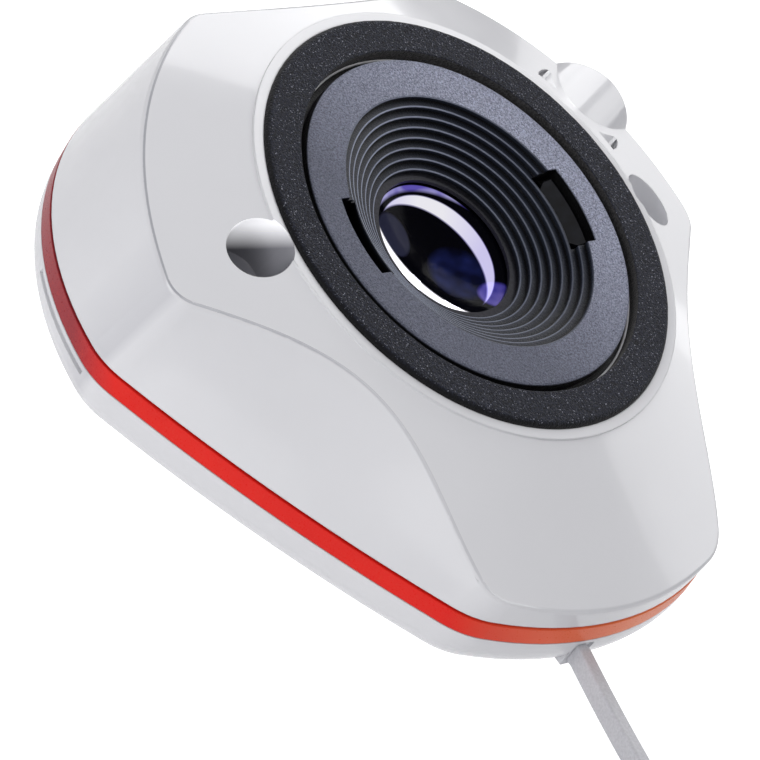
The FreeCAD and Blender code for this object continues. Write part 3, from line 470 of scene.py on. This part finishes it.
def lens_depth():
    """Dark inner surface of the lens with painted reflections in its coatings: navy and coloured ghosts of
    the light, and glowing crescents.
    """
    s = Shader("lens_depth", (0.006, 0.007, 0.03), 0.12, IOR=1.45)
    cloud = s.noise(240, 2)
    grain = s.noise(1500, 3)
    # painted reflections: navy, grey and violet ghosts of the light
    navy = s.mix(s.remap(cloud, 0.42, 0.58, 0, 1), (0.003, 0.004, 0.022), (0.012, 0.018, 0.10))
    tone = s.mix(lens_disc(s, *NAVY_GHOST, 0.5), (0.0012, 0.0012, 0.003), navy)
    grey_ghost = s.math("MULTIPLY", lens_disc(s, *GREY_GHOST, 0.15), 0.8)
    tone = s.mix(grey_ghost, tone, (0.035, 0.037, 0.075))
    patch = s.math("MULTIPLY", lens_disc(s, *VIOLET_PATCH, 0.2), 0.85)
    patch_tone = s.mix(s.remap(cloud, 0.4, 0.6, 0, 1), (0.05, 0.04, 0.42), (0.30, 0.24, 0.80))
    s.color(s.mix(patch, tone, patch_tone))
    s.roughness(s.remap(grain, 0.3, 0.7, 0.06, 0.16))
    s.surface.inputs["Specular IOR Level"].default_value = 0.03
    # painted reflections: a far crescent and a violet crescent that glow
    far_surface = lens_disc(s, (0, 0), FAR_SURFACE_R, 0.06)
    far = s.math("MULTIPLY", far_surface, outside(s, lens_disc(s, *FAR_GLINT, 0.10)))
    opening = lens_disc(s, (0, 0), LENS_OPENING_R, 0.03)
    upper = s.math("MULTIPLY", outside(s, lens_disc(s, *VIOLET_GLINT, 0.15)), opening)
    lilac = s.mix(lens_disc(s, (2.5, 5.0), 4.0, 2.5), (0.70, 0.66, 0.98), (0.95, 0.94, 1.0))
    violet = s.mix(s.remap(cloud, 0.45, 0.6, 0, 1), (0.16, 0.12, 0.62), (0.55, 0.52, 0.95))
    s.feed(s.surface.inputs["Emission Color"], s.mix(far, violet, lilac))
    glow = s.math("ADD", s.math("MULTIPLY", far, 0.85), s.math("MULTIPLY", upper, 0.65), clamp=True)
    s.feed(s.surface.inputs["Emission Strength"], glow)
    return s.material


def filter_glass():
    """Greenish filter glass."""
    s = Shader("filter_glass", (0.35, 0.65, 0.6), 0.05, Transmission_Weight=0.7)
    s.roughness(s.remap(s.noise(400, 2), 0.3, 0.7, 0.03, 0.08))
    return s.material


def metal(name, dark, light, scale=2500, rough=(0.25, 0.42)):
    """Bare metal with fine grain."""
    s = Shader(name, light, 0.3, Metallic=1.0)
    grain = s.noise(scale, 4)
    s.color(s.mix(s.remap(grain, 0.3, 0.7, 0, 1), dark, light))
    s.roughness(s.remap(grain, 0.3, 0.7, *rough))
    return s.bump(grain, 0.1, 0.00002, s.rounded_normal(0.0001)).material


def soft_plastic(name, dark, light, scale, rough, strength=0.2):
    """Matt plastic or laminate with fine grain."""
    s = Shader(name, light, 0.5)
    grain = s.noise(scale, 4)
    s.color(s.mix(s.remap(grain, 0.3, 0.7, 0, 1), dark, light))
    s.roughness(s.remap(grain, 0.3, 0.7, *rough))
    return s.bump(grain, strength, 0.00004, s.rounded_normal(0.0002)).material


SLOTS = {
    "white_gloss": white_gloss(),
    "red_band": red_band(),
    "contact_foam": foam(),
    "baffle_black": baffle(),
    "moulded_black": moulded_black(),
    "black_anodised": anodised(),
    "coated_glass": coated_glass(),
    "filter_glass": filter_glass(),
    "screw_steel": metal("screw_steel", (0.36, 0.37, 0.39), (0.6, 0.61, 0.63)),
    "plug_steel": metal("plug_steel", (0.62, 0.62, 0.63), (0.8, 0.8, 0.81), 1200, (0.16, 0.3)),
    "insert_brass": metal("insert_brass", (0.5, 0.33, 0.12), (0.76, 0.56, 0.26)),
    "contact_gilt": metal("contact_gilt", (0.75, 0.5, 0.15), (0.92, 0.70, 0.30), 1200, (0.15, 0.25)),
}

# darker and lighter tone, grain scale, roughness range and, where it isn't the usual, bump strength
PLASTICS = {
    "board_laminate": ((0.01, 0.09, 0.045), (0.015, 0.14, 0.07), 900, (0.25, 0.4)),
    "chip_epoxy": ((0.015, 0.015, 0.017), (0.035, 0.035, 0.04), 5000, (0.5, 0.7)),
    "diffuser_white": ((0.72, 0.73, 0.74), (0.82, 0.83, 0.84), 900, (0.35, 0.5)),
    "grey_elastomer": ((0.66, 0.66, 0.69), (0.74, 0.74, 0.77), 3000, (0.45, 0.6)),
    "cable_jacket": ((0.47, 0.47, 0.50), (0.58, 0.58, 0.61), 4200, (0.4, 0.6), 0.35),
    "wire_insulation": ((0.40, 0.04, 0.03), (0.5, 0.06, 0.05), 2500, (0.3, 0.5)),
    "header_nylon": ((0.66, 0.64, 0.55), (0.78, 0.76, 0.68), 2500, (0.4, 0.55)),
    "plug_tongue": ((0.78, 0.78, 0.78), (0.86, 0.86, 0.86), 2500, (0.35, 0.5)),
}
for plastic, finish in PLASTICS.items():
    SLOTS[plastic] = soft_plastic(plastic, *finish)

# the visible lens has two looks, which both belong to the record's slot coated_glass
LENS_LOOKS = {"lens_front": lens_front(), "lens_depth": lens_depth()}

for part in frame["record"]["subparts"]:
    thing = NODES[part["node"]]
    thing.data.materials.clear()
    thing.data.materials.append(SLOTS[part["material_slot"]])


# --- pieces modelled here --------------------------------------------------------------
def mesh_piece(name, points, faces, slot_name, look=None):
    """A mesh object of points and faces, with a slot's finish or a look of its own within that slot."""
    mesh = bpy.data.meshes.new(name)
    mesh.from_pydata([tuple(p) for p in points], [], faces)
    work = bmesh.new()
    work.from_mesh(mesh)
    bmesh.ops.recalc_face_normals(work, faces=work.faces)
    work.to_mesh(mesh)
    work.free()
    mesh.shade_smooth()
    mesh.materials.append(LENS_LOOKS[look] if look else SLOTS[slot_name])
    piece = bpy.data.objects.new(name, mesh)
    bpy.context.scene.collection.objects.link(piece)
    return piece


def lathe(name, profile, segments, slot_name):
    """Closed ring turned about the lens axis from a closed profile of (radius, height, wobble)."""
    points, faces = [], []
    rows = len(profile)
    for index in range(segments):
        turn = 2 * math.pi * index / segments
        for radius, height, wobble in profile:
            flat = Vector((radius * math.cos(turn), radius * math.sin(turn), height))
            if wobble:
                shift = noise.noise(flat * 1.1) * 0.6 + noise.noise(flat * 3.3) * 0.4
                radius_now = radius + wobble[0] * shift
                height_now = height + wobble[1] * shift
                flat = Vector((radius_now * math.cos(turn), radius_now * math.sin(turn), height_now))
            points.append(lens_point(*flat))
    for index in range(segments):
        a, b = index * rows, (index + 1) % segments * rows
        for row in range(rows):
            after = (row + 1) % rows
            faces.append((a + row, a + after, b + after, b + row))
    return mesh_piece(name, points, faces, slot_name)


def turned(name, profile, segments, slot_name, look):
    """Solid turned about the lens axis from (radius, height) points, from pole to pole."""
    first, last = profile[0], profile[-1]
    rings = profile[1:-1]
    points = [lens_point(0, 0, first[1])]
    for index in range(segments):
        turn = 2 * math.pi * index / segments
        for radius, height in rings:
            points.append(lens_point(radius * math.cos(turn), radius * math.sin(turn), height))
    points.append(lens_point(0, 0, last[1]))
    faces = []
    rows = len(rings)
    for index in range(segments):
        a, b = 1 + index * rows, 1 + (index + 1) % segments * rows
        faces.append((0, a, b))
        for row in range(rows - 1):
            faces.append((a + row, a + row + 1, b + row + 1, b + row))
        faces.append((a + rows - 1, len(points) - 1, b + rows - 1))
    return mesh_piece(name, points, faces, slot_name, look)


def cap_profile(centre_z, radius, reach, steps, bulge=1):
    """Points of a spherical cap from its pole out to a reach; bulge -1 makes it hollow."""
    points = []
    for step in range(steps + 1):
        across = reach * step / steps
        points.append((across, centre_z + bulge * math.sqrt(radius ** 2 - across ** 2)))
    return points


# height above a ring's seat up to which its sides are plain, in millimetres
SEAT_BAND = 0.3


def rounded_ring_profile(inner, outer, low, high, radii, wobble, arc_steps=10, flat_steps=10):
    """Profile of a ring with both upper edges rounded; the wobble fades out at the seat."""
    corners = ((outer - radii[0], 0, radii[0]), (inner + radii[1], 90, radii[1]))
    profile = []
    for centre, start, radius in corners:
        for step in range(arc_steps + 1):
            angle = math.radians(start + 90 * step / arc_steps)
            across = centre + radius * math.cos(angle)
            rise = high - radius + radius * math.sin(angle)
            profile.append((across, rise, (wobble * math.cos(angle), wobble * math.sin(angle))))
        if start == 0:
            for step in range(1, flat_steps):
                across = centre + (corners[1][0] - centre) * step / flat_steps
                profile.append((across, high, (0, wobble)))
    for across, rise in ((inner, SEAT_BAND), (inner, 0), (outer, 0), (outer, SEAT_BAND)):
        profile.append((across, low + rise, None))
    return profile


GASKET_INNER_R = 19.2
GASKET_SEAT_Z = -0.9
FOAM_TOP_Z = 0.58
SEAL_R = 6.8
SEAL_INNER_R = 5.2
SEAL_LOW_Z = -13.18
SEAL_TOP_Z = -12.62

foam_profile = rounded_ring_profile(GASKET_INNER_R, GASKET_R, GASKET_SEAT_Z, FOAM_TOP_Z, (0.6, 0.14), 0.03)
foam_ring = lathe("foam_ring", foam_profile, 720, "contact_foam")
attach(foam_ring, "puck")
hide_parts("contact_gasket")

seal_profile = rounded_ring_profile(SEAL_INNER_R, SEAL_R, SEAL_LOW_Z, SEAL_TOP_Z, (0.25, 0.25), 0.015, 5, 4)
seal_ring = lathe("seal_ring", seal_profile, 160, "contact_foam")
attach(seal_ring, "puck")
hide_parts("shroud_seal")


# --- front lens: a clear coated dome over a dark hollow ------------------------------------
GLASS_RIM_Z = -4.62
GLASS_R = 7.44
DOME_R = 13.0
DOME_WALL = 0.25
HOLLOW_R = 15.5
HOLLOW_EDGE_Z = GLASS_RIM_Z - 0.3
EDGE_R = 8.55
EDGE_LOW_Z = GLASS_RIM_Z - 1.98
PLUG_R = 7.4
PLUG_LOW_Z = -8.2
dome_centre = GLASS_RIM_Z - math.sqrt(DOME_R ** 2 - GLASS_R ** 2)
dome_profile = cap_profile(dome_centre, DOME_R, GLASS_R, 24)
inside = cap_profile(dome_centre, DOME_R - DOME_WALL, GLASS_R - 0.15, 16)
lens_dome = turned("lens_dome", dome_profile + inside[::-1], 180, "coated_glass", "lens_front")
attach(lens_dome, "puck")
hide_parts("front_lens")

hollow_centre = HOLLOW_EDGE_Z + math.sqrt(HOLLOW_R ** 2 - GLASS_R ** 2)
hollow_profile = cap_profile(hollow_centre, HOLLOW_R, GLASS_R, 24, -1)
hollow_profile += [(EDGE_R, HOLLOW_EDGE_Z), (EDGE_R, EDGE_LOW_Z), (PLUG_R, EDGE_LOW_Z)]
hollow_profile += [(PLUG_R, PLUG_LOW_Z), (0, PLUG_LOW_Z)]
lens_hollow = turned("lens_hollow", hollow_profile, 180, "coated_glass", "lens_depth")
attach(lens_hollow, "puck")
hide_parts("front_lens")


# --- cable -----------------------------------------------------------------------------
CABLE_W = 1.35 * MM
CABLE_H = 2.2 * MM
CABLE_CORNER = 0.22 * MM
CABLE_ARC_R = 180 * MM

# length on each side of the first bend over which the section turns into the arc
KINK_REACH = 0.9 * MM
BEND = {joint["name"]: Vector(joint["pos_m"]) for joint in frame["joints"]}
HINGE = BEND["cable_bend"]
PLUG_HINGE = BEND["plug_bend"]
SWEEP = math.atan2(HINGE.y - PLUG_HINGE.y, CABLE_ARC_R - (HINGE.x - PLUG_HINGE.x))
RUN = CABLE_ARC_R * SWEEP
CABLE_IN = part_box("cable_entry")[1].y - HINGE.y


def cable_station(along):
    """Centre and sideways direction of the cable at a distance from the first bend."""
    heading = SWEEP - max(0.0, min(along, RUN)) / CABLE_ARC_R
    centre = PLUG_HINGE + Vector((CABLE_ARC_R * (1 - math.cos(heading)), CABLE_ARC_R * math.sin(heading), 0))
    if along < 0:
        centre = HINGE - Vector((0, along, 0))
    if along > RUN:
        centre = PLUG_HINGE - Vector((0, along - RUN, 0))
    settled = max(0.0, min(1.0, (along + KINK_REACH) / (2 * KINK_REACH)))
    facing = heading * settled * settled * (3 - 2 * settled)
    return centre, Vector((math.cos(facing), -math.sin(facing), 0))


def cable_outline(corner_steps=6, flat_steps=6):
    """Section of the cable: a strip with rounded edges, with points along its flats."""
    half_w, half_h = CABLE_W / 2, CABLE_H / 2
    outline = []
    quadrants = ((1, 1, 0), (-1, 1, 90), (-1, -1, 180), (1, -1, 270))
    for index, (sx, sy, start) in enumerate(quadrants):
        centre = Vector((sx * (half_w - CABLE_CORNER), sy * (half_h - CABLE_CORNER)))
        for step in range(corner_steps + 1):
            angle = math.radians(start + 90 * step / corner_steps)
            outline.append(centre + Vector((math.cos(angle), math.sin(angle))) * CABLE_CORNER)
        nx, ny, _ = quadrants[(index + 1) % 4]
        after = Vector((nx * (half_w - CABLE_CORNER), ny * (half_h - CABLE_CORNER)))
        turn = math.radians(start + 90)
        after += Vector((math.cos(turn), math.sin(turn))) * CABLE_CORNER
        last = outline[-1].copy()
        for step in range(1, flat_steps):
            outline.append(last.lerp(after, step / flat_steps))
    return outline


def cable_piece(name, start, end, step=0.25 * MM):
    """Length of jacket between two distances from the first bend, closed at both ends."""
    outline = cable_outline()
    count = max(2, round((end - start) / step))
    points, faces = [], []
    for index in range(count + 1):
        centre, side = cable_station(start + (end - start) * index / count)
        for spot in outline:
            points.append(centre + side * spot.x + Vector((0, 0, spot.y)))
    size = len(outline)
    for index in range(count):
        for item in range(size):
            after = (item + 1) % size
            a, b = index * size, (index + 1) * size
            faces.append((a + item, a + after, b + after, b + item))
    faces.append(tuple(range(size)))
    faces.append(tuple(count * size + item for item in range(size)))
    return mesh_piece(name, points, faces, "cable_jacket")


MID_RUN = RUN * 0.5
PLUG_OVERLAP = 1.6 * MM
cable_near = cable_piece("cable_near", -CABLE_IN, MID_RUN)
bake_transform(cable_near)
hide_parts("usb_cable", "cable_entry")

cable_far = cable_piece("cable_far", MID_RUN, RUN + PLUG_OVERLAP)
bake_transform(cable_far)
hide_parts("usb_cable")


# --- light, floor and camera -------------------------------------------------------------
FLOOR_DROP = 0.26
FLOOR_REACH = 6.0
FLOOR_GLOW = 0.36


def floor():
    """Wide pale floor well below the object, which glows for the camera only."""
    level = CAD_BOX[0].z - FLOOR_DROP
    corners = [(x * FLOOR_REACH, y * FLOOR_REACH, level) for x, y in ((-1, -1), (1, -1), (1, 1), (-1, 1))]
    mesh = bpy.data.meshes.new("floor")
    mesh.from_pydata(corners, [], [(0, 1, 2, 3)])
    s = Shader("floor", (0.93, 0.93, 0.94), 0.9)
    s.color(s.mix(s.remap(s.noise(3, 2), 0.3, 0.7, 0, 1), (0.92, 0.92, 0.93), (0.94, 0.94, 0.95)))
    glow = s.node("ShaderNodeLightPath").outputs["Is Camera Ray"]
    s.surface.inputs["Emission Color"].default_value = (1, 1, 1, 1)
    s.feed(s.surface.inputs["Emission Strength"], s.math("MULTIPLY", glow, FLOOR_GLOW))
    mesh.materials.append(s.material)
    made = bpy.data.objects.new("floor", mesh)
    bpy.context.scene.collection.objects.link(made)


LIGHT_TARGET = Vector((0, 0, 0.014))


def softbox(name, toward, distance, width, height, power):
    """White rectangular area light that faces the object from a direction."""
    light = bpy.data.lights.new(name, "AREA")
    light.shape = "RECTANGLE"
    light.size = width
    light.size_y = height
    light.energy = power
    made = bpy.data.objects.new(name, light)
    direction = Vector(toward).normalized()
    made.location = LIGHT_TARGET + direction * distance
    made.rotation_euler = direction.to_track_quat("Z", "Y").to_euler()
    made.visible_camera = False
    bpy.context.scene.collection.objects.link(made)


def world(strength, zenith, horizon):
    """Soft surround, a little brighter overhead, with a plain white backdrop for the camera."""
    made = bpy.data.worlds.new("studio")
    made.use_nodes = True
    tree = made.node_tree
    tree.nodes.clear()
    output = tree.nodes.new("ShaderNodeOutputWorld")
    background = tree.nodes.new("ShaderNodeBackground")
    backdrop = tree.nodes.new("ShaderNodeBackground")
    backdrop.inputs["Color"].default_value = (1, 1, 1, 1)
    background.inputs["Strength"].default_value = strength
    place = tree.nodes.new("ShaderNodeTexCoord")
    split = tree.nodes.new("ShaderNodeSeparateXYZ")
    ramp = tree.nodes.new("ShaderNodeMapRange")
    blend_colour = tree.nodes.new("ShaderNodeMix")
    blend_colour.data_type = "RGBA"
    blend_colour.inputs["A"].default_value = (*horizon, 1)
    blend_colour.inputs["B"].default_value = (*zenith, 1)
    path = tree.nodes.new("ShaderNodeLightPath")
    choose = tree.nodes.new("ShaderNodeMixShader")
    link = tree.links.new
    link(place.outputs["Generated"], split.inputs[0])
    link(split.outputs["Z"], ramp.inputs["Value"])
    link(ramp.outputs["Result"], blend_colour.inputs["Factor"])
    link(blend_colour.outputs["Result"], background.inputs["Color"])
    link(path.outputs["Is Camera Ray"], choose.inputs[0])
    link(background.outputs[0], choose.inputs[1])
    link(backdrop.outputs[0], choose.inputs[2])
    link(choose.outputs[0], output.inputs["Surface"])
    bpy.context.scene.world = made


# direction towards the camera, its right-hand side, its distance, its aim off the ring and its lens
VIEW_TOWARD = Vector((-0.7040, -0.4153, 0.5764)).normalized()
VIEW_RIGHT = Vector((0.6997, -0.5459, 0.4610))
VIEW_DISTANCE = 0.460
VIEW_SHIFT = (8.45 * MM, 14.95 * MM)
VIEW_LENS = 231.1


def camera():
    """Long-lens camera over the -X side, rolled so that the cable runs down the frame."""
    right = (VIEW_RIGHT - VIEW_TOWARD * VIEW_RIGHT.dot(VIEW_TOWARD)).normalized()
    up = VIEW_TOWARD.cross(right)
    data = bpy.data.cameras.new("camera")
    data.lens = VIEW_LENS
    data.sensor_width = 36
    data.clip_start = 0.01
    data.clip_end = 100
    made = bpy.data.objects.new("camera", data)
    aim = RING_CENTRE - right * VIEW_SHIFT[0] - up * VIEW_SHIFT[1]
    turn = Matrix((right, up, VIEW_TOWARD)).transposed().to_4x4()
    made.matrix_world = Matrix.Translation(aim + VIEW_TOWARD * VIEW_DISTANCE) @ turn
    bpy.context.scene.collection.objects.link(made)
    bpy.context.scene.camera = made


floor()
world(0.36, (1.0, 1.0, 1.02), (0.56, 0.56, 0.60))
softbox("behind", lens_direction(0.60, 0.70, 0.38), 0.9, 0.75, 0.6, 3.8)
softbox("overhead", lens_direction(-0.34, -0.15, 0.93), 0.9, 0.36, 0.36, 1.0)
softbox("left", (-0.92, 0.10, 0.35), 0.9, 0.5, 0.5, 2.9)
softbox("right", lens_direction(0.92, -0.03, 0.38), 0.9, 0.45, 0.45, 0.95)
softbox("right_low", lens_direction(0.93, 0.27, 0.06), 0.9, 0.45, 0.45, 0.55)
softbox("front", lens_direction(0.25, -0.62, 0.74), 0.9, 0.4, 0.4, 1.2)
softbox("low_left", (-0.95, -0.20, -0.02), 0.35, 0.25, 0.25, 0.12)
camera()
bpy.context.scene.view_settings.view_transform = "Standard"
